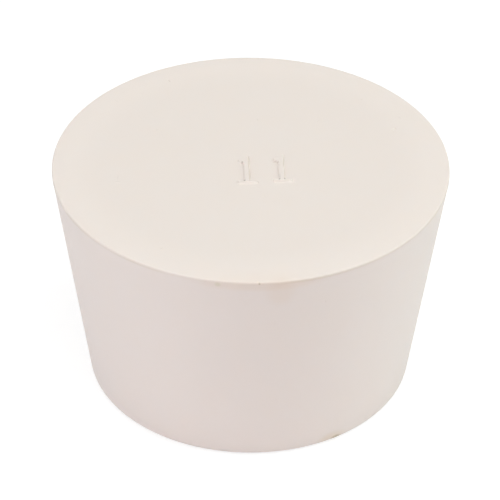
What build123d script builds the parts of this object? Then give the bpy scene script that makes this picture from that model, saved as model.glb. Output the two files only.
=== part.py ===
"""Solid tapered laboratory stopper, moulded in one piece from white rubber.

The stopper is a round plug with a straight taper. It stands on its small end, the end that goes
into a neck, and its big end is gripped and pressed. The whole body is one turned section: the
flat small end with its soft edge, the straight tapering side, the low ridge where the moulding
flash was trimmed off, the big end's tight edge, and the big end's face, which is flat over its
middle and falls away a little towards the rim.

Frame: millimetres, +Z up along the axis, origin at the centre of the small end's face.
"""

from build123d import *

import os
from math import atan, cos, pi, sin, tan

# The taper. Each diameter is where the side's line meets the plane of that end.
big_end_diameter = 56.0
small_end_diameter = 46.0
height = 34.0

# The rounded edges of the two ends.
big_end_edge_radius = 0.2
small_end_edge_radius = 1.2

# The big end's face falls from its flat middle to the rim.
rim_fall_width = 2.6
rim_fall = 0.12

# The trimmed flash: a low rounded ridge round the side, a little way under the big end's edge.
flash_ridge_height = 0.24
flash_ridge_proud = 0.03
flash_ridge_gap = 0.05

# Values worked out from the sizes above. Angles are in radians.
big_end_radius = big_end_diameter / 2
small_end_radius = small_end_diameter / 2
taper_angle = atan((big_end_radius - small_end_radius) / height)
flat_radius = big_end_radius - rim_fall_width
rim_level = height - rim_fall


def side_point(level, proud=0.0):
    """The point of the side's line at a level, moved outwards square to that line."""
    line_radius = small_end_radius + level * tan(taper_angle)
    return (line_radius + proud * cos(taper_angle), level - proud * sin(taper_angle))


def edge_reach():
    """How far down the side's line the big end's rounded edge reaches from the rim corner."""
    fall_run = side_point(rim_level)[0] - flat_radius
    fall_slope = 2 * atan(rim_fall / fall_run)
    corner_angle = pi / 2 - taper_angle + fall_slope
    return big_end_edge_radius / tan(corner_angle / 2)


def ridge_levels():
    """The levels of the flash ridge's foot, crest and top on the side's line."""
    top_level = rim_level - (edge_reach() + flash_ridge_gap) * cos(taper_angle)
    foot_level = top_level - flash_ridge_height
    return foot_level, (foot_level + top_level) / 2, top_level


def half_section():
    """Half of the stopper's section, in the XZ plane, with the axis at X = 0."""
    foot_level, crest_level, top_level = ridge_levels()
    small_end_corner = side_point(0)
    rim_corner = side_point(rim_level)
    ridge_foot = side_point(foot_level)
    ridge_crest = side_point(crest_level, flash_ridge_proud)
    ridge_top = side_point(top_level)
    with BuildSketch(Plane.XZ) as section:
        with BuildLine():
            Polyline((0, height), (0, 0), small_end_corner, ridge_foot)
            ThreePointArc(ridge_foot, ridge_crest, ridge_top)
            Line(ridge_top, rim_corner)
            TangentArc((flat_radius, height), rim_corner, tangent=(1, 0))
            Line((flat_radius, height), (0, height))
        make_face()
        fillet(section.vertices().sort_by_distance(rim_corner)[0], big_end_edge_radius)
        fillet(section.vertices().sort_by_distance(small_end_corner)[0], small_end_edge_radius)
    return section.sketch


def stopper():
    """The whole stopper, its half section turned about the axis into one solid."""
    body = revolve(half_section(), Axis.Z)
    body.label = "stopper"
    return body


if __name__ == "__main__":
    os.makedirs("parts", exist_ok=True)
    export_step(stopper(), "parts/stopper.step")
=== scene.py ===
"""The looks of a moulded white rubber stopper, standing on its small end in soft studio light.

The stopper is one closed piece. Its section is spun about the axis, its two edges are rounded,
the trimmed flash leaves an uneven ridge under the big end's rim, the size number stands raised on
the big end's face, and small pits are sunk where the mould trapped air. Stains, painted shade and
painted highlights tint the skin.

The stopper is modelled in millimetres and scaled to metres when it is whole. Everything else is
in metres. +Z is up the stopper's axis, and the viewer looks along +Y.
"""

import logging
import math
import random
from dataclasses import dataclass, field
from enum import Enum

import bmesh
import bpy
from mathutils import Matrix, Vector, kdtree, noise


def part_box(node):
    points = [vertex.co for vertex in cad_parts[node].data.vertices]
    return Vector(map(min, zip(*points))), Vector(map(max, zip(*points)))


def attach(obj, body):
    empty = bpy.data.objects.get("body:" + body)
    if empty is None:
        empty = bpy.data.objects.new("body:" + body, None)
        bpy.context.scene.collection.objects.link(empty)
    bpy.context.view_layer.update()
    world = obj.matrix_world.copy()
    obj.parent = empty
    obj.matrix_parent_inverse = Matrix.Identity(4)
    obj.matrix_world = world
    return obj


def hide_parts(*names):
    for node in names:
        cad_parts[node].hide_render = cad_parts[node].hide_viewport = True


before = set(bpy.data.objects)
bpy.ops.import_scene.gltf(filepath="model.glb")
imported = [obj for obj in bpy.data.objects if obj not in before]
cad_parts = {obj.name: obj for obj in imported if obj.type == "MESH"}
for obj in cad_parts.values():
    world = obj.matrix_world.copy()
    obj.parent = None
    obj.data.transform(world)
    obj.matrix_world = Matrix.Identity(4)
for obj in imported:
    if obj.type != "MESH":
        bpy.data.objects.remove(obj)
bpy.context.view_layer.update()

MM = 0.001
NODE = "stopper"

log = logging.getLogger("stopper")


class Surface(Enum):
    """The surfaces that can hold a pit or a tint patch.

    On the big end, a place is (x, y). On the side, it is (azimuth in degrees from the viewer
    towards +X, level above the small end).
    """

    BIG_END = "big end"
    SIDE = "side"


@dataclass(frozen=True)
class Pit:
    """A small round pit that a trapped bubble left in the skin."""

    surface: Surface
    place: tuple[float, float]
    width: float = 0.15
    depth: float = 0.03


@dataclass(frozen=True)
class TintPatch:
    """A small patch of skin with another tint. Some are stains, others painted shade and painted
    highlights.

    The spread is how far it reaches along x, y and z, in millimetres. The tint multiplies the
    colour of the skin.
    """

    surface: Surface
    place: tuple[float, float]
    spread: tuple[float, float, float]
    tint: tuple[float, float, float]


@dataclass(frozen=True)
class StopperSizes:
    """The sizes of the moulded body in millimetres, as in the CAD part."""

    height: float
    big_end_radius: float = 28.0
    small_end_radius: float = 23.0
    big_end_edge_radius: float = 0.2
    small_end_edge_radius: float = 1.2
    rim_fall_width: float = 2.6
    rim_fall: float = 0.12
    ridge_height: float = 0.24
    ridge_proud: float = 0.03
    ridge_gap: float = 0.05

    @property
    def taper_angle(self) -> float:
        """The side's lean from the axis, in radians."""
        return math.atan((self.big_end_radius - self.small_end_radius) / self.height)

    @property
    def flat_radius(self) -> float:
        """The radius at which the big end's face starts to fall."""
        return self.big_end_radius - self.rim_fall_width

    @property
    def rim_level(self) -> float:
        """The level of the rim's corner before it is rounded."""
        return self.height - self.rim_fall

    @property
    def rim_edge_reach(self) -> float:
        """How far the rim's rounding reaches from its corner, along either surface."""
        fall_run = self.side_point(self.rim_level).x - self.flat_radius
        fall_slope = 2 * math.atan(self.rim_fall / fall_run)
        corner_angle = math.pi / 2 - self.taper_angle + fall_slope
        return self.big_end_edge_radius / math.tan(corner_angle / 2)

    @property
    def foot_edge_reach(self) -> float:
        """How far the small end's rounding reaches from its corner, along either surface."""
        corner_angle = math.pi / 2 + self.taper_angle
        return self.small_end_edge_radius / math.tan(corner_angle / 2)

    @property
    def ridge_top(self) -> float:
        """The level of the flash ridge's upper edge."""
        return self.rim_level - (self.rim_edge_reach + self.ridge_gap) * math.cos(self.taper_angle)

    @property
    def ridge_foot(self) -> float:
        """The level of the flash ridge's lower edge."""
        return self.ridge_top - self.ridge_height

    def side_point(self, level: float, proud: float = 0.0) -> Vector:
        """A point of the section on the side's line.

        Args:
            level: Height above the small end.
            proud: How far the point stands out square to the line.

        Returns:
            The point in the XZ plane.
        """
        line_radius = self.small_end_radius + level * math.tan(self.taper_angle)
        out = Vector((math.cos(self.taper_angle), 0, -math.sin(self.taper_angle)))
        return Vector((line_radius, 0, level)) + out * proud

    def point_on(self, surface: Surface, place: tuple[float, float]) -> Vector:
        """A point of the stopper's skin.

        Args:
            surface: The surface it lies on.
            place: Where it lies on that surface.

        Returns:
            The point in the stopper's frame.
        """
        if surface is Surface.BIG_END:
            return Vector((*place, self.height))
        azimuth, level = place
        radius = self.side_point(level).x
        angle = math.radians(azimuth)
        return Vector((radius * math.sin(angle), -radius * math.cos(angle), level))


@dataclass(frozen=True)
class RaisedDigit:
    """A digit 1 with a flag and a foot, raised from the face in drafted walls.

    Its outline is taken where the walls meet the face. The origin is the foot's lower edge, on the
    stem's middle line.
    """

    height: float = 6.65
    stem_width: float = 0.9
    foot_left: float = 1.33
    foot_right: float = 1.5
    foot_height: float = 0.62
    flag_reach: float = 1.12
    flag_start: float = 0.1
    flag_tip_top: float = 5.62
    flag_tip_foot: float = 5.22
    flag_joint: float = 4.72

    def outline(self) -> list[Vector]:
        """The digit's outline in the XY plane, counter-clockwise."""
        half = self.stem_width / 2
        return [
            Vector((-self.foot_left, 0, 0)),
            Vector((self.foot_right, 0, 0)),
            Vector((self.foot_right, self.foot_height, 0)),
            Vector((half, self.foot_height, 0)),
            Vector((half, self.height, 0)),
            Vector((-self.flag_start, self.height, 0)),
            Vector((-self.flag_reach, self.flag_tip_top, 0)),
            Vector((-self.flag_reach, self.flag_tip_foot, 0)),
            Vector((-half, self.flag_joint, 0)),
            Vector((-half, self.foot_height, 0)),
            Vector((-self.foot_left, self.foot_height, 0)),
        ]


@dataclass
class SizeNumber:
    """The size number 11, raised on the big end's face a little off its centre."""

    digit: RaisedDigit = field(default_factory=RaisedDigit)
    centre: tuple[float, float] = (1.85, -1.28)
    pitch: float = 4.91
    climb: float = 0.26
    turn: float = math.radians(2.5)
    relief: float = 0.27
    draft: float = math.radians(30)
    apron: float = 0.25
    corner_round: float = 0.1
    crest_round: float = 0.06
    foot_round: float = 0.04
    round_segments: int = 3

    def placements(self, level: float) -> list[Matrix]:
        """Where the two digits go.

        Args:
            level: Height of the face they stand on.

        Returns:
            A matrix for each digit, from its own plane to the stopper's frame.
        """
        centre = Matrix.Translation((*self.centre, level)) @ Matrix.Rotation(self.turn, 4, "Z")
        places = []
        for side in (-0.5, 0.5):
            foot = side * self.climb - self.digit.height / 2
            places.append(centre @ Matrix.Translation((side * self.pitch, foot, 0)))
        return places

    def widened(self, outline: list[Vector]) -> list[Vector]:
        """An outline moved outwards by the apron, with mitred corners.

        Args:
            outline: Corner points in a plane, counter-clockwise.

        Returns:
            As many points, each moved out from both of its edges.
        """
        points = []
        for before, corner, after in zip(outline[-1:] + outline[:-1], outline, outline[1:] + outline[:1]):
            run_in = (corner - before).normalized()
            run_out = (after - corner).normalized()
            out_in = Vector((run_in.y, -run_in.x, 0))
            out_out = Vector((run_out.y, -run_out.x, 0))
            points.append(corner + (out_in + out_out) * self.apron / (1 + out_in.dot(out_out)))
        return points

    def draw_aprons(self, bm: bmesh.types.BMesh, level: float) -> list[list[bmesh.types.BMVert]]:
        """Draws the loop round each digit that the face is filled up to.

        Args:
            bm: The stopper's mesh.
            level: Height of the face.

        Returns:
            The corner vertices of each loop.
        """
        loops = []
        for place in self.placements(level):
            corners = [bm.verts.new(place @ point) for point in self.widened(self.digit.outline())]
            for start, end in zip(corners, corners[1:] + corners[:1]):
                bm.edges.new((start, end))
            loops.append(corners)
        return loops

    def raise_digits(self, bm: bmesh.types.BMesh, loops: list[list[bmesh.types.BMVert]]) -> None:
        """Raises the digits inside their aprons, with drafted walls and softened edges.

        Args:
            bm: The stopper's mesh.
            loops: The corner vertices of each digit's apron, counter-clockwise.
        """
        level = loops[0][0].co.z
        for corners in loops:
            top = bm.faces.new(corners)
            top.normal_update()
            bmesh.ops.inset_region(bm, faces=[top], thickness=self.apron, use_even_offset=True)
            bmesh.ops.inset_region(
                bm,
                faces=[top],
                thickness=self.relief * math.tan(self.draft),
                depth=self.relief,
                use_even_offset=True,
            )
        self.soften(bm, self.rising_edges(bm, level), self.corner_round)
        self.soften(bm, self.folded_edges(bm, level + self.relief), self.crest_round)
        self.soften(bm, self.folded_edges(bm, level), self.foot_round)

    def rising_edges(self, bm: bmesh.types.BMesh, level: float) -> list[bmesh.types.BMEdge]:
        """The edges that run up the walls at the digits' corners.

        Args:
            bm: The stopper's mesh.
            level: Height of the face.

        Returns:
            The edges that climb by the whole relief.
        """
        tolerance = 0.001

        def climbs(edge: bmesh.types.BMEdge) -> bool:
            """Whether an edge runs from the face to a digit's top."""
            low, high = sorted(vert.co.z for vert in edge.verts)
            return abs(low - level) < tolerance and abs(high - level - self.relief) < tolerance

        return [edge for edge in bm.edges if climbs(edge)]

    def folded_edges(self, bm: bmesh.types.BMesh, level: float) -> list[bmesh.types.BMEdge]:
        """The edges at one height where a flat surface meets a wall.

        Args:
            bm: The stopper's mesh.
            level: Height of the flat surface.

        Returns:
            The folded edges.
        """
        tolerance = 0.001
        least_fold = math.radians(20)
        bm.normal_update()

        def at_level(edge: bmesh.types.BMEdge) -> bool:
            """Whether both ends of an edge are at the height."""
            return all(abs(vert.co.z - level) < tolerance for vert in edge.verts)

        return [edge for edge in bm.edges if at_level(edge) and edge.calc_face_angle(0.0) > least_fold]

    def soften(self, bm: bmesh.types.BMesh, edges: list[bmesh.types.BMEdge], reach: float) -> None:
        """Rounds edges.

        Args:
            bm: The stopper's mesh.
            edges: The edges to round.
            reach: How far the rounding reaches from each edge.
        """
        bmesh.ops.bevel(
            bm,
            geom=edges,
            offset=reach,
            offset_type="OFFSET",
            affect="EDGES",
            segments=self.round_segments,
            profile=0.5,
            material=-1,
            clamp_overlap=True,
        )


@dataclass
class MouldedStopper:
    """The stopper's body: one closed mesh that stands for the CAD solid."""

    sizes: StopperSizes
    number: SizeNumber = field(default_factory=SizeNumber)
    pits: tuple[Pit, ...] = ()
    name: str = "moulded_stopper"
    turns: int = 384
    row_height: float = 0.7
    centre_patch_radius: float = 8.0
    fall_rows: int = 8
    ridge_rows: int = 6
    edge_segments: int = 6
    flash_seed: float = 4.7
    flash_waves: float = 3.2
    flash_fine_waves: float = 9.0
    flash_fine_share: float = 0.4
    flash_unevenness: float = 0.85
    flash_least_trim: float = 0.15

    def rows(self, start: float, end: float, spacing: float) -> list[float]:
        """Evenly spaced values between two ends, with both ends left out.

        Args:
            start: The first end.
            end: The other end.
            spacing: About how far apart the values are.

        Returns:
            The values in order.
        """
        count = max(1, round(abs(end - start) / spacing))
        return [start + (end - start) * step / count for step in range(1, count)]

    def small_end_points(self) -> list[Vector]:
        """The section across the small end's face, from the axis to its sharp corner."""
        corner = self.sizes.small_end_radius
        inner = [Vector((radius, 0, 0)) for radius in self.rows(0, corner, 2 * self.row_height)]
        return [Vector((0, 0, 0)), *inner, Vector((corner, 0, 0))]

    def side_points(self) -> list[Vector]:
        """The section up the side's line, between the small end's rounding and the flash ridge."""
        start = self.sizes.foot_edge_reach * math.cos(self.sizes.taper_angle)
        levels = self.rows(start, self.sizes.ridge_foot, self.row_height)
        return [self.sizes.side_point(level) for level in levels]

    def ridge_points(self) -> list[Vector]:
        """The section over the flash ridge, an arc that starts and ends on the side's line."""
        foot, top = self.sizes.ridge_foot, self.sizes.ridge_top
        half_chord = (top - foot) / 2 / math.cos(self.sizes.taper_angle)
        proud = self.sizes.ridge_proud
        arc_radius = (half_chord**2 + proud**2) / (2 * proud)
        points = []
        for row in range(self.ridge_rows + 1):
            share = row / self.ridge_rows
            along = (2 * share - 1) * half_chord
            rise = math.sqrt(arc_radius**2 - along**2) - (arc_radius - proud)
            points.append(self.sizes.side_point(foot + (top - foot) * share, rise))
        return points

    def fall_points(self) -> list[Vector]:
        """The section from the rim's sharp corner over the fall to the flat face.

        Between the corner and the first row there is room for the rim's rounding.
        """
        room = 1.1
        rim = self.sizes.side_point(self.sizes.rim_level)
        run = rim.x - self.sizes.flat_radius
        arc_radius = (run**2 + self.sizes.rim_fall**2) / (2 * self.sizes.rim_fall)
        first_row = run - self.sizes.rim_edge_reach * room
        outs = [run, *(first_row * (1 - row / self.fall_rows) for row in range(self.fall_rows + 1))]
        points = []
        for out in outs:
            drop = arc_radius - math.sqrt(arc_radius**2 - out**2)
            points.append(Vector((self.sizes.flat_radius + out, 0, self.sizes.height - drop)))
        return points

    def face_points(self) -> list[Vector]:
        """The section over the flat face, from its edge to the patch that holds the number."""
        radii = self.rows(self.sizes.flat_radius, self.centre_patch_radius, self.row_height)
        radii.append(self.centre_patch_radius)
        return [Vector((radius, 0, self.sizes.height)) for radius in radii]

    def spin_section(self, bm: bmesh.types.BMesh) -> None:
        """Draws half the section and spins it about the axis, with the faces turned outwards.

        Args:
            bm: An empty mesh.
        """
        weld_distance = 0.001
        points = [
            *self.small_end_points(),
            *self.side_points(),
            *self.ridge_points(),
            *self.fall_points(),
            *self.face_points(),
        ]
        verts = [bm.verts.new(point) for point in points]
        edges = [bm.edges.new(pair) for pair in zip(verts, verts[1:])]
        bmesh.ops.spin(
            bm,
            geom=verts + edges,
            cent=(0, 0, 0),
            axis=(0, 0, 1),
            angle=math.tau,
            steps=self.turns,
            use_merge=True,
        )
        bmesh.ops.remove_doubles(bm, verts=bm.verts, dist=weld_distance)
        bmesh.ops.reverse_faces(bm, faces=bm.faces)

    def ring_edges(self, bm: bmesh.types.BMesh, corner: Vector) -> list[bmesh.types.BMEdge]:
        """The edges of the ring that one corner of the section made.

        Args:
            bm: The spun mesh.
            corner: The corner in the XZ plane.

        Returns:
            The ring's edges.
        """
        tolerance = 0.002

        def on_ring(vert: bmesh.types.BMVert) -> bool:
            """Whether a vertex lies on the ring."""
            level_off = abs(vert.co.z - corner.z)
            return level_off < tolerance and abs(vert.co.xy.length - corner.x) < tolerance

        return [edge for edge in bm.edges if all(on_ring(vert) for vert in edge.verts)]

    def round_ring(self, bm: bmesh.types.BMesh, corner: Vector, reach: float) -> None:
        """Rounds the ring that one corner of the section made.

        Args:
            bm: The spun mesh.
            corner: The corner in the XZ plane.
            reach: How far the rounding reaches from the corner.
        """
        bmesh.ops.bevel(
            bm,
            geom=self.ring_edges(bm, corner),
            offset=reach,
            offset_type="OFFSET",
            affect="EDGES",
            segments=self.edge_segments,
            profile=0.5,
            material=-1,
        )

    def trim_flash(self, bm: bmesh.types.BMesh) -> None:
        """Makes the flash ridge uneven round the stopper, as trimming leaves it.

        Args:
            bm: The spun mesh.
        """
        margin = 0.01
        fine = self.flash_fine_share
        out_slope = Vector((math.cos(self.sizes.taper_angle), -math.sin(self.sizes.taper_angle)))
        for vert in bm.verts:
            if not self.sizes.ridge_foot - margin < vert.co.z < self.sizes.ridge_top + margin:
                continue
            across = vert.co.xy.normalized()
            line = self.sizes.side_point(vert.co.z)
            proud = (vert.co.xy.length - line.x) * math.cos(self.sizes.taper_angle)
            spot = Vector((*(across * self.flash_waves), self.flash_seed))
            wave = (1 - fine) * noise.noise(spot) + fine * noise.noise(spot * self.flash_fine_waves)
            change = proud * min(0.0, wave * self.flash_unevenness - self.flash_least_trim)
            vert.co += Vector((*(across * out_slope.x * change), out_slope.y * change))

    def fill_face(self, bm: bmesh.types.BMesh) -> None:
        """Fills the middle of the big end's face and raises the number on it.

        Args:
            bm: The spun mesh, open in the middle of the big end.
        """
        aprons = self.number.draw_aprons(bm, self.sizes.height)
        open_edges = [edge for edge in bm.edges if edge.is_boundary or edge.is_wire]
        bmesh.ops.triangle_fill(bm, edges=open_edges, use_beauty=True)
        self.number.raise_digits(bm, aprons)

    def sink_pits(self, bm: bmesh.types.BMesh) -> None:
        """Sinks each pit into the four-sided face nearest to its place.

        Args:
            bm: The closed mesh.
        """
        faces = [face for face in bm.faces if len(face.verts) == 4]
        tree = kdtree.KDTree(len(faces))
        for index, face in enumerate(faces):
            tree.insert(face.calc_center_median(), index)
        tree.balance()
        chosen = {}
        for pit in self.pits:
            index = tree.find(self.sizes.point_on(pit.surface, pit.place))[1]
            chosen.setdefault(index, pit)
        for index, pit in chosen.items():
            self.sink_pit(bm, faces[index], pit)

    def sink_pit(self, bm: bmesh.types.BMesh, face: bmesh.types.BMFace, pit: Pit) -> None:
        """Sinks one pit into a face.

        Args:
            bm: The closed mesh.
            face: A four-sided face wider than the pit.
            pit: The pit.
        """
        most_of_face, corner_cut, wall_slope = 0.8, 0.29, 0.2
        shortest = min(edge.calc_length() for edge in face.edges)
        width = min(pit.width, most_of_face * shortest)
        middle = face.calc_center_median()
        bmesh.ops.inset_region(bm, faces=[face], thickness=(shortest - width) / 2, use_even_offset=True)
        rounded = bmesh.ops.bevel(
            bm,
            geom=list(face.verts),
            offset=corner_cut * width,
            offset_type="OFFSET",
            affect="VERTICES",
            segments=2,
            profile=0.5,
            material=-1,
        )
        around = {near for vert in rounded["verts"] for near in vert.link_faces}
        mouth = min(around, key=lambda near: (near.calc_center_median() - middle).length)
        bmesh.ops.inset_region(
            bm, faces=[mouth], thickness=wall_slope * width, depth=-pit.depth, use_even_offset=True
        )

    def build(self) -> bpy.types.Object:
        """Makes the stopper's object.

        Returns:
            The object, in place and linked to the scene.
        """
        bm = bmesh.new()
        self.spin_section(bm)
        self.round_ring(bm, self.sizes.side_point(self.sizes.rim_level), self.sizes.rim_edge_reach)
        self.round_ring(bm, self.sizes.side_point(0), self.sizes.foot_edge_reach)
        self.trim_flash(bm)
        self.fill_face(bm)
        self.sink_pits(bm)
        bmesh.ops.scale(bm, vec=(MM, MM, MM), verts=bm.verts)
        for face in bm.faces:
            face.smooth = True
        mesh = bpy.data.meshes.new(self.name)
        bm.to_mesh(mesh)
        bm.free()
        piece = bpy.data.objects.new(self.name, mesh)
        bpy.context.scene.collection.objects.link(piece)
        weighted = piece.modifiers.new("flat faces stay flat", "WEIGHTED_NORMAL")
        weighted.keep_sharp = True
        return piece


@dataclass(frozen=True)
class NoiseLayer:
    """Smooth noise: blobs in a metre, how many finer layers it has, a seed and their strength."""

    scale: float
    detail: float
    seed: float
    roughness: float = 0.55


class NodePad:
    """Adds shader nodes to a tree in few words."""

    def __init__(self, tree: bpy.types.NodeTree) -> None:
        """Keeps the tree.

        Args:
            tree: The node tree to add to.
        """
        self.tree = tree

    def add(self, kind: str, **settings: object) -> bpy.types.Node:
        """Adds a node.

        Args:
            kind: The node's type name after "ShaderNode".
            settings: Values for the node's own properties.

        Returns:
            The node.
        """
        node = self.tree.nodes.new("ShaderNode" + kind)
        for key, value in settings.items():
            setattr(node, key, value)
        return node

    def feed(self, node: bpy.types.Node, **inputs: object) -> bpy.types.Node:
        """Sets or links a node's inputs by name.

        Args:
            node: The node.
            inputs: A value or a socket for each input, with underscores for spaces. A key that
                ends in digits, such as in_1, is the input of that number.

        Returns:
            The same node.
        """
        for key, value in inputs.items():
            place = int(key.removeprefix("in_")) if key.startswith("in_") else key.replace("_", " ")
            socket = node.inputs[place]
            if isinstance(value, bpy.types.NodeSocket):
                self.tree.links.new(value, socket)
            else:
                socket.default_value = value
        return node

    def math(self, operation: str, *values: object) -> bpy.types.NodeSocket:
        """Adds a math node.

        Args:
            operation: The node's operation.
            values: A number or a socket for each input in order.

        Returns:
            The result's socket.
        """
        node = self.add("Math", operation=operation)
        self.feed(node, **{f"in_{index}": value for index, value in enumerate(values)})
        return node.outputs[0]

    def noise(self, where: bpy.types.NodeSocket, layer: NoiseLayer) -> bpy.types.NodeSocket:
        """Adds smooth noise around one half.

        Args:
            where: The coordinates.
            layer: The noise's values.

        Returns:
            The noise's value, from about 0 to 1.
        """
        node = self.add("TexNoise", noise_dimensions="4D")
        self.feed(node, Vector=where, W=layer.seed, Scale=layer.scale)
        self.feed(node, Detail=layer.detail, Roughness=layer.roughness)
        return node.outputs["Fac"]

    def ramp(
        self, value: bpy.types.NodeSocket, start: float, end: float, low: float = 0.0, high: float = 1.0
    ) -> bpy.types.NodeSocket:
        """Maps a range smoothly to another.

        Args:
            value: The socket to map.
            start: The value that gives low.
            end: The value that gives high.
            low: The result at and before start.
            high: The result at and after end.

        Returns:
            The result's socket.
        """
        node = self.add("MapRange", interpolation_type="SMOOTHSTEP")
        self.feed(node, in_0=value, in_1=start, in_2=end, in_3=low, in_4=high)
        return node.outputs[0]


@dataclass(frozen=True)
class RubberFinish:
    """Soft matte white rubber with a dry, faintly powdery skin."""

    sizes: StopperSizes
    stains: tuple[TintPatch, ...] = ()
    colour: tuple[float, float, float] = (0.809, 0.739, 0.691)
    warm: tuple[float, float, float] = (0.811, 0.737, 0.685)
    # the flash's yellower tint, darkened as painted shade under the rim
    flash: tuple[float, float, float] = (0.760, 0.680, 0.600)
    roughness: float = 0.62
    skin_glow: float = 0.12
    skin_depth: float = 0.35 * MM
    skin_radii: tuple[float, float, float] = (1.0, 0.8, 0.65)
    sheen: float = 0.04
    sheen_roughness: float = 0.6
    mottle: NoiseLayer = NoiseLayer(210.0, 2.0, 1.3)
    mottle_band: tuple[float, float] = (0.35, 0.65)
    speck_scale: float = 520.0
    speck_radius: float = 0.085 * MM
    speck_core: float = 0.4
    speck_rarity: float = 0.86
    speck_shade: float = 0.10
    speck_dimple: float = 0.03 * MM
    stain_core: float = 0.3
    # a painted highlight that lightens the face towards the rim
    painted_highlight_start: float = 20 * MM
    painted_highlight_end: float = 26.5 * MM
    pale_gain: float = 0.03
    flash_blur: float = 0.15 * MM
    flash_patches: NoiseLayer = NoiseLayer(90.0, 1.0, 6.1)
    flash_patch_band: tuple[float, float] = (0.35, 0.6)
    flash_patch_least: float = 0.25
    grain: NoiseLayer = NoiseLayer(5200.0, 3.0, 2.2)
    grain_height: float = 0.010 * MM
    ripple: NoiseLayer = NoiseLayer(420.0, 1.0, 9.4)
    ripple_height: float = 0.020 * MM

    def material(self) -> bpy.types.Material:
        """Makes the rubber.

        Returns:
            The material.
        """
        material = bpy.data.materials.new("white rubber")
        material.use_nodes = True
        pad = NodePad(material.node_tree)
        shader = material.node_tree.nodes["Principled BSDF"]
        where = pad.add("TexCoord").outputs["Object"]
        speck = self.speck(pad, where)
        pad.feed(
            shader,
            Base_Color=self.colour_socket(pad, where, speck),
            Roughness=self.roughness,
            Subsurface_Weight=self.skin_glow,
            Subsurface_Radius=self.skin_radii,
            Subsurface_Scale=self.skin_depth,
            Sheen_Weight=self.sheen,
            Sheen_Roughness=self.sheen_roughness,
            Normal=self.relief(pad, where, speck),
        )
        return material

    def speck(self, pad: NodePad, where: bpy.types.NodeSocket) -> bpy.types.NodeSocket:
        """Sparse specks, each a fraction of a millimetre wide.

        Args:
            pad: Where the nodes go.
            where: The coordinates.

        Returns:
            A socket that is 1 in the middle of a speck and 0 off the specks.
        """
        cells = pad.feed(pad.add("TexVoronoi"), Vector=where, Scale=self.speck_scale, Randomness=1.0)
        chance = pad.feed(pad.add("SeparateColor"), Color=cells.outputs["Color"])
        kept = pad.math("GREATER_THAN", chance.outputs[0], self.speck_rarity)
        radius = self.speck_radius * self.speck_scale
        spot = pad.ramp(cells.outputs["Distance"], radius, radius * self.speck_core)
        return pad.math("MULTIPLY", spot, kept)

    def colour_socket(
        self, pad: NodePad, where: bpy.types.NodeSocket, speck: bpy.types.NodeSocket
    ) -> bpy.types.NodeSocket:
        """The rubber's colour: faint mottling, a painted highlight near the rim, the flash's yellower
        tint with painted shade, specks, and patches of stains, painted shade and painted highlights.

        Args:
            pad: Where the nodes go.
            where: The coordinates.
            speck: The specks' socket.

        Returns:
            The colour's socket.
        """
        mottle = pad.ramp(pad.noise(where, self.mottle), *self.mottle_band)
        base = pad.feed(
            pad.add("Mix", data_type="RGBA"), in_0=mottle, in_6=(*self.colour, 1), in_7=(*self.warm, 1)
        )
        flash = pad.feed(
            pad.add("Mix", data_type="RGBA"),
            in_0=self.flash_tint_and_painted_shade_mask(pad, where),
            in_6=base.outputs[2],
            in_7=(*self.flash, 1),
        )
        shade = pad.math("MULTIPLY_ADD", speck, -self.speck_shade, 1.0)
        bright = pad.math("MULTIPLY", shade, self.rim_painted_highlight(pad, where))
        colour = pad.feed(
            pad.add("VectorMath", operation="SCALE"), in_0=flash.outputs[2], Scale=bright
        ).outputs[0]
        for stain in self.stains:
            colour = self.stained(pad, where, colour, stain)
        return colour

    def stained(
        self, pad: NodePad, where: bpy.types.NodeSocket, colour: bpy.types.NodeSocket, stain: TintPatch
    ) -> bpy.types.NodeSocket:
        """The colour with one tint patch over it. Tint patches are stains, painted shade and painted
        highlights.

        Args:
            pad: Where the nodes go.
            where: The coordinates.
            colour: The colour under the patch.
            stain: The patch.

        Returns:
            The colour's socket.
        """
        middle = self.sizes.point_on(stain.surface, stain.place) * MM
        spread = Vector(stain.spread) * MM
        offset = pad.feed(pad.add("VectorMath", operation="SUBTRACT"), in_0=where, in_1=middle)
        share = pad.feed(pad.add("VectorMath", operation="DIVIDE"), in_0=offset.outputs[0], in_1=spread)
        reach = pad.feed(pad.add("VectorMath", operation="LENGTH"), in_0=share.outputs[0])
        mask = pad.ramp(reach.outputs["Value"], 1.0, self.stain_core)
        mix = pad.add("Mix", data_type="RGBA", blend_type="MULTIPLY")
        return pad.feed(mix, in_0=mask, in_6=colour, in_7=(*stain.tint, 1)).outputs[2]

    def radius_and_level(
        self, pad: NodePad, where: bpy.types.NodeSocket
    ) -> tuple[bpy.types.NodeSocket, bpy.types.NodeSocket]:
        """The distance from the axis and the height of the shaded point.

        Args:
            pad: Where the nodes go.
            where: The coordinates.

        Returns:
            The radius's and the level's sockets.
        """
        parts = pad.feed(pad.add("SeparateXYZ"), Vector=where)
        across = pad.feed(pad.add("CombineXYZ"), X=parts.outputs[0], Y=parts.outputs[1])
        radius = pad.feed(pad.add("VectorMath", operation="LENGTH"), in_0=across.outputs[0])
        return radius.outputs["Value"], parts.outputs[2]

    def rim_painted_highlight(self, pad: NodePad, where: bpy.types.NodeSocket) -> bpy.types.NodeSocket:
        """A factor that paints a highlight on the big end's face, a little paler towards its rim.

        Args:
            pad: Where the nodes go.
            where: The coordinates.

        Returns:
            The factor's socket.
        """
        radius, level = self.radius_and_level(pad, where)
        near_rim = pad.ramp(radius, self.painted_highlight_start, self.painted_highlight_end, 0.0, self.pale_gain)
        edge_foot = self.sizes.rim_level - self.sizes.big_end_edge_radius
        on_face = pad.ramp(level, edge_foot * MM, self.sizes.rim_level * MM)
        return pad.math("MULTIPLY_ADD", near_rim, on_face, 1.0)

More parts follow.
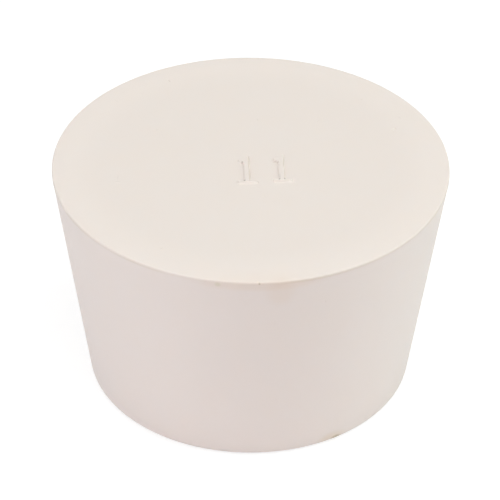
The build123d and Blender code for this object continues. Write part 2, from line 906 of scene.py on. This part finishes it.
    def flash_tint_and_painted_shade_mask(self, pad: NodePad, where: bpy.types.NodeSocket) -> bpy.types.NodeSocket:
        """Where the trimmed flash shows a yellower tint and painted shade, in patches round the rim.

        Args:
            pad: Where the nodes go.
            where: The coordinates.

        Returns:
            A socket that is 1 on the flash and 0 off it.
        """
        level = self.radius_and_level(pad, where)[1]
        foot, top, blur = self.sizes.ridge_foot * MM, self.sizes.ridge_top * MM, self.flash_blur
        above_foot = pad.ramp(level, foot - blur, foot + blur)
        below_top = pad.ramp(level, top + 2 * blur, top)
        spots = pad.noise(where, self.flash_patches)
        patches = pad.ramp(spots, *self.flash_patch_band, self.flash_patch_least, 1.0)
        return pad.math("MULTIPLY", pad.math("MULTIPLY", above_foot, below_top), patches)

    def relief(
        self, pad: NodePad, where: bpy.types.NodeSocket, speck: bpy.types.NodeSocket
    ) -> bpy.types.NodeSocket:
        """Fine grain, a soft ripple and the specks' dimples.

        Args:
            pad: Where the nodes go.
            where: The coordinates.
            speck: The specks' socket.

        Returns:
            The normal's socket.
        """
        grain = pad.math("MULTIPLY", pad.noise(where, self.grain), self.grain_height)
        ripple = pad.math("MULTIPLY", pad.noise(where, self.ripple), self.ripple_height)
        dimple = pad.math("MULTIPLY", speck, -self.speck_dimple)
        height = pad.math("ADD", pad.math("ADD", grain, ripple), dimple)
        return pad.feed(pad.add("Bump"), Height=height, Distance=1.0, Strength=1.0).outputs[0]


@dataclass(frozen=True)
class SoftLamp:
    """A square soft box aimed at the stopper, its azimuth and elevation in degrees."""

    name: str
    azimuth: float
    elevation: float
    watts: float
    colour: tuple[float, float, float]
    distance: float = 0.9
    side: float = 0.6

    def hang(self, target: Vector) -> bpy.types.Object:
        """Adds the lamp.

        Args:
            target: The point it is aimed at.

        Returns:
            The lamp's object.
        """
        data = bpy.data.lights.new(self.name, "AREA")
        data.shape = "SQUARE"
        data.size = self.side
        data.energy = self.watts
        data.color = self.colour
        lamp = bpy.data.objects.new(self.name, data)
        azimuth, elevation = math.radians(self.azimuth), math.radians(self.elevation)
        flat = math.cos(elevation)
        away = Vector((math.sin(azimuth) * flat, -math.cos(azimuth) * flat, math.sin(elevation)))
        lamp.location = target + away * self.distance
        lamp.rotation_euler = away.to_track_quat("Z", "Y").to_euler()
        bpy.context.scene.collection.objects.link(lamp)
        return lamp


@dataclass
class Studio:
    """The pale floor, the white surroundings and the soft boxes."""

    target: Vector
    floor_side: float = 8.0
    floor_bounce: tuple[float, float, float] = (0.94, 0.90, 0.93)
    floor_seen: float = 0.35
    floor_glow: float = 0.75
    dome: tuple[float, float, float] = (0.25, 0.25, 0.25)
    lamps: tuple[SoftLamp, ...] = (
        SoftLamp("overhead box", 0, 80, 3.45, (1.0, 0.931, 0.898)),
        SoftLamp("left box", -70, 30, 2.60, (0.897, 0.964, 1.0)),
        SoftLamp("right box", 90, 35, 3.74, (0.867, 1.0, 0.962)),
        SoftLamp("front box", 0, 20, 1.02, (1.0, 0.92, 0.942)),
    )

    def seen_ray(self, pad: NodePad) -> bpy.types.NodeSocket:
        """Whether a ray comes from the camera, or from a reflection or a see-through surface.

        Args:
            pad: Where the nodes go.

        Returns:
            A socket that is 1 for such rays and 0 for the light that falls on things.
        """
        path = pad.add("LightPath").outputs
        reflected = pad.math("MAXIMUM", path["Is Glossy Ray"], path["Is Transmission Ray"])
        return pad.math("MAXIMUM", path["Is Camera Ray"], reflected)

    def light_surroundings(self) -> None:
        """Makes the world: soft light on things, plain white to the camera."""
        world = bpy.data.worlds.new("white surroundings")
        bpy.context.scene.world = world
        world.use_nodes = True
        pad = NodePad(world.node_tree)
        shader = world.node_tree.nodes["Background"]
        colour = pad.feed(
            pad.add("Mix", data_type="RGBA"),
            in_0=self.seen_ray(pad),
            in_6=(*self.dome, 1),
            in_7=(1, 1, 1, 1),
        )
        pad.feed(shader, Color=colour.outputs[2], Strength=1.0)

    def floor_material(self) -> bpy.types.Material:
        """Makes the floor's pale finish, which shows white and keeps the shadow.

        Returns:
            The material.
        """
        material = bpy.data.materials.new("pale floor")
        material.use_nodes = True
        tree = material.node_tree
        pad = NodePad(tree)
        tree.nodes.remove(tree.nodes["Principled BSDF"])
        seen = self.seen_ray(pad)
        tone = (self.floor_seen,) * 3
        colour = pad.feed(
            pad.add("Mix", data_type="RGBA"), in_0=seen, in_6=(*self.floor_bounce, 1), in_7=(*tone, 1)
        )
        matte = pad.feed(pad.add("BsdfDiffuse"), Color=colour.outputs[2])
        glow = pad.feed(pad.add("Emission"), Strength=pad.math("MULTIPLY", seen, self.floor_glow))
        both = pad.feed(pad.add("AddShader"), in_0=matte.outputs[0], in_1=glow.outputs[0])
        pad.feed(tree.nodes["Material Output"], Surface=both.outputs[0])
        return material

    def lay_floor(self) -> bpy.types.Object:
        """Makes the floor under the stopper.

        Returns:
            The floor's object.
        """
        bm = bmesh.new()
        bmesh.ops.create_grid(bm, x_segments=1, y_segments=1, size=self.floor_side / 2)
        mesh = bpy.data.meshes.new("floor")
        bm.to_mesh(mesh)
        bm.free()
        floor = bpy.data.objects.new("floor", mesh)
        floor.data.materials.append(self.floor_material())
        bpy.context.scene.collection.objects.link(floor)
        return floor

    def build(self) -> None:
        """Makes the floor, the surroundings and the lamps."""
        self.lay_floor()
        self.light_surroundings()
        for lamp in self.lamps:
            lamp.hang(self.target)


@dataclass(frozen=True)
class ProductCamera:
    """A long lens that looks down on the stopper from the front."""

    target: Vector
    distance: float = 0.5
    elevation: float = math.radians(36.05)
    roll: float = 0.009
    sensor_width: float = 36.0
    lens: float = 250.9
    clip_start: float = 0.01
    aim_up: float = 1.70 * MM

    def place(self) -> bpy.types.Object:
        """Adds the camera and makes it the scene's own.

        Returns:
            The camera's object.
        """
        data = bpy.data.cameras.new("product camera")
        data.sensor_width = self.sensor_width
        data.lens = self.lens
        data.clip_start = self.clip_start
        camera = bpy.data.objects.new("product camera", data)
        back = Vector((0, -math.cos(self.elevation), math.sin(self.elevation)))
        up = back.cross(Vector((1, 0, 0)))
        aim = self.target + up * self.aim_up
        camera.location = self.target + back * self.distance
        look = (camera.location - aim).to_track_quat("Z", "Y").to_matrix().to_4x4()
        turned = look @ Matrix.Rotation(self.roll, 4, "Z")
        camera.rotation_euler = turned.to_euler()
        bpy.context.scene.collection.objects.link(camera)
        bpy.context.scene.camera = camera
        return camera


# Pits in view
SEEN_PITS = (
    Pit(Surface.BIG_END, (-11.81, 21.06), 0.26, 0.10),
    Pit(Surface.BIG_END, (20.6, 9.32), 0.30, 0.12),
    Pit(Surface.BIG_END, (0.74, 11.06), 0.18, 0.04),
    Pit(Surface.BIG_END, (12.9, -15.38)),
    Pit(Surface.BIG_END, (-13.22, 8.52), 0.20, 0.05),
    Pit(Surface.BIG_END, (-19.61, 15.66)),
    Pit(Surface.BIG_END, (9.62, 11.2), 0.20, 0.05),
    Pit(Surface.BIG_END, (-11.69, 10.08)),
    Pit(Surface.BIG_END, (15.89, 16.76)),
    Pit(Surface.BIG_END, (21.11, 12.16)),
    Pit(Surface.BIG_END, (-12.17, -20.68)),
    Pit(Surface.BIG_END, (-15.93, 17.82)),
    Pit(Surface.SIDE, (7.26, 26.26)),
    Pit(Surface.SIDE, (22.15, 29.02)),
)

# Tints and spreads that several tint patches share; the tints are painted shade and a painted highlight
PAINTED_CORNER_SHADE = (0.32, 0.29, 0.27)
FAINT_PAINTED_CORNER_SHADE = (0.72, 0.69, 0.67)
PAINTED_WALL_SHADE = (0.91, 0.88, 0.85)
SCRATCH_PAINTED_SHADE = (0.96, 0.96, 0.96)
SCRATCH_PAINTED_HIGHLIGHT = (1.05, 1.05, 1.05)
CORNER_SPREAD = (0.2, 0.28, 1.0)
LINE_SPREAD = (0.16, 2.2, 1.0)
SCRATCH_SPREAD = (0.5, 0.17, 1.0)

# Painted shade in the number's inner corners, under a flag and along the right walls
NUMBER_PAINTED_SHADE = (
    TintPatch(Surface.BIG_END, (-0.87, -4.38), CORNER_SPREAD, PAINTED_CORNER_SHADE),
    TintPatch(Surface.BIG_END, (-1.19, 0.12), CORNER_SPREAD, FAINT_PAINTED_CORNER_SHADE),
    TintPatch(Surface.BIG_END, (4.01, -3.88), CORNER_SPREAD, PAINTED_CORNER_SHADE),
    TintPatch(Surface.BIG_END, (4.81, -3.8), CORNER_SPREAD, PAINTED_CORNER_SHADE),
    TintPatch(Surface.BIG_END, (3.75, 0.34), (0.26, 0.2, 1.0), (0.80, 0.78, 0.76)),
    TintPatch(Surface.BIG_END, (3.4, 0.55), (0.45, 0.2, 1.0), (0.84, 0.82, 0.80)),
    TintPatch(Surface.BIG_END, (-0.3, 0.3), LINE_SPREAD, PAINTED_WALL_SHADE),
    TintPatch(Surface.BIG_END, (-0.17, -2.6), LINE_SPREAD, PAINTED_WALL_SHADE),
    TintPatch(Surface.BIG_END, (4.61, 0.45), LINE_SPREAD, PAINTED_WALL_SHADE),
    TintPatch(Surface.BIG_END, (4.74, -2.4), LINE_SPREAD, PAINTED_WALL_SHADE),
)

# Painted shade in the widest pit, and a faint scratch like a T upside down, drawn in painted shade
# and a painted highlight
FACE_PAINTED_LIGHT = (
    TintPatch(Surface.BIG_END, (20.6, 9.32), CORNER_SPREAD, (0.93, 0.92, 0.90)),
    TintPatch(Surface.BIG_END, (-18.57, -3.65), (0.13, 0.9, 1.0), SCRATCH_PAINTED_SHADE),
    TintPatch(Surface.BIG_END, (-18.52, -4.6), SCRATCH_SPREAD, SCRATCH_PAINTED_SHADE),
    TintPatch(Surface.BIG_END, (-18.52, -4.9), SCRATCH_SPREAD, SCRATCH_PAINTED_HIGHLIGHT),
)

# A painted highlight and painted shade at a nib on the rim, a grey-green spot, painted shade in a tan
# band under the rim, and painted shade on the small end's edge
SIDE_STAINS_AND_PAINTED_LIGHT = (
    # painted highlight and painted shade at the nib
    TintPatch(Surface.SIDE, (2.2, 33.95), (0.2, 0.5, 0.16), (1.08, 1.06, 1.0)),
    TintPatch(Surface.SIDE, (2.7, 33.65), (0.2, 0.5, 0.25), (0.76, 0.73, 0.66)),
    TintPatch(Surface.SIDE, (-8.9, 33.25), (0.6, 0.8, 0.55), (0.91, 0.93, 0.86)),
    # painted shade in a tan band under the rim
    TintPatch(Surface.SIDE, (3.5, 33.2), (12.0, 5.0, 1.2), (0.985, 0.955, 0.92)),
    TintPatch(Surface.SIDE, (8.7, 31.8), (2.8, 2.5, 3.2), (0.99, 0.965, 0.935)),
    # painted shade on the small end's edge
    TintPatch(Surface.SIDE, (32.3, 0.5), (1.1, 1.1, 0.8), (0.68, 0.65, 0.52)),
    TintPatch(Surface.SIDE, (30.5, 0.8), (3.0, 2.6, 1.6), (0.95, 0.925, 0.86)),
)


def hidden_pits(sizes: StopperSizes, count: int = 6, seed: int = 11) -> list[Pit]:
    """Pits on the far side, as sparse as those in view.

    Args:
        sizes: The body's sizes.
        count: How many there are.
        seed: Fixes their places.

    Returns:
        The pits.
    """
    azimuths, level_shares, widths = (75, 285), (0.08, 0.92), (0.14, 0.20)
    draw = random.Random(seed)
    pits = []
    for _ in range(count):
        azimuth = draw.uniform(*azimuths)
        level = draw.uniform(*level_shares) * sizes.height
        pits.append(Pit(Surface.SIDE, (azimuth, level), draw.uniform(*widths)))
    return pits


def main() -> None:
    """Builds the stopper, the studio and the camera."""
    logging.basicConfig(level=logging.INFO, format="%(name)s: %(message)s")
    low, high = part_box(NODE)
    sizes = StopperSizes(height=(high.z - low.z) / MM)
    middle = (low + high) / 2
    middle.xy = (0, 0)
    stopper = MouldedStopper(sizes, pits=SEEN_PITS + tuple(hidden_pits(sizes)))
    piece = stopper.build()
    stains = NUMBER_PAINTED_SHADE + FACE_PAINTED_LIGHT + SIDE_STAINS_AND_PAINTED_LIGHT
    piece.data.materials.append(RubberFinish(sizes, stains).material())
    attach(piece, "root")
    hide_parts(NODE)
    log.info("%s: %d faces", piece.name, len(piece.data.polygons))
    studio = Studio(middle)
    studio.build()
    log.info("studio: %d lamps", len(studio.lamps))
    camera = ProductCamera(middle).place()
    log.info("camera: %.0f mm lens", camera.data.lens)
    bpy.context.scene.view_settings.view_transform = "Standard"


if __name__ == "__main__":
    main()
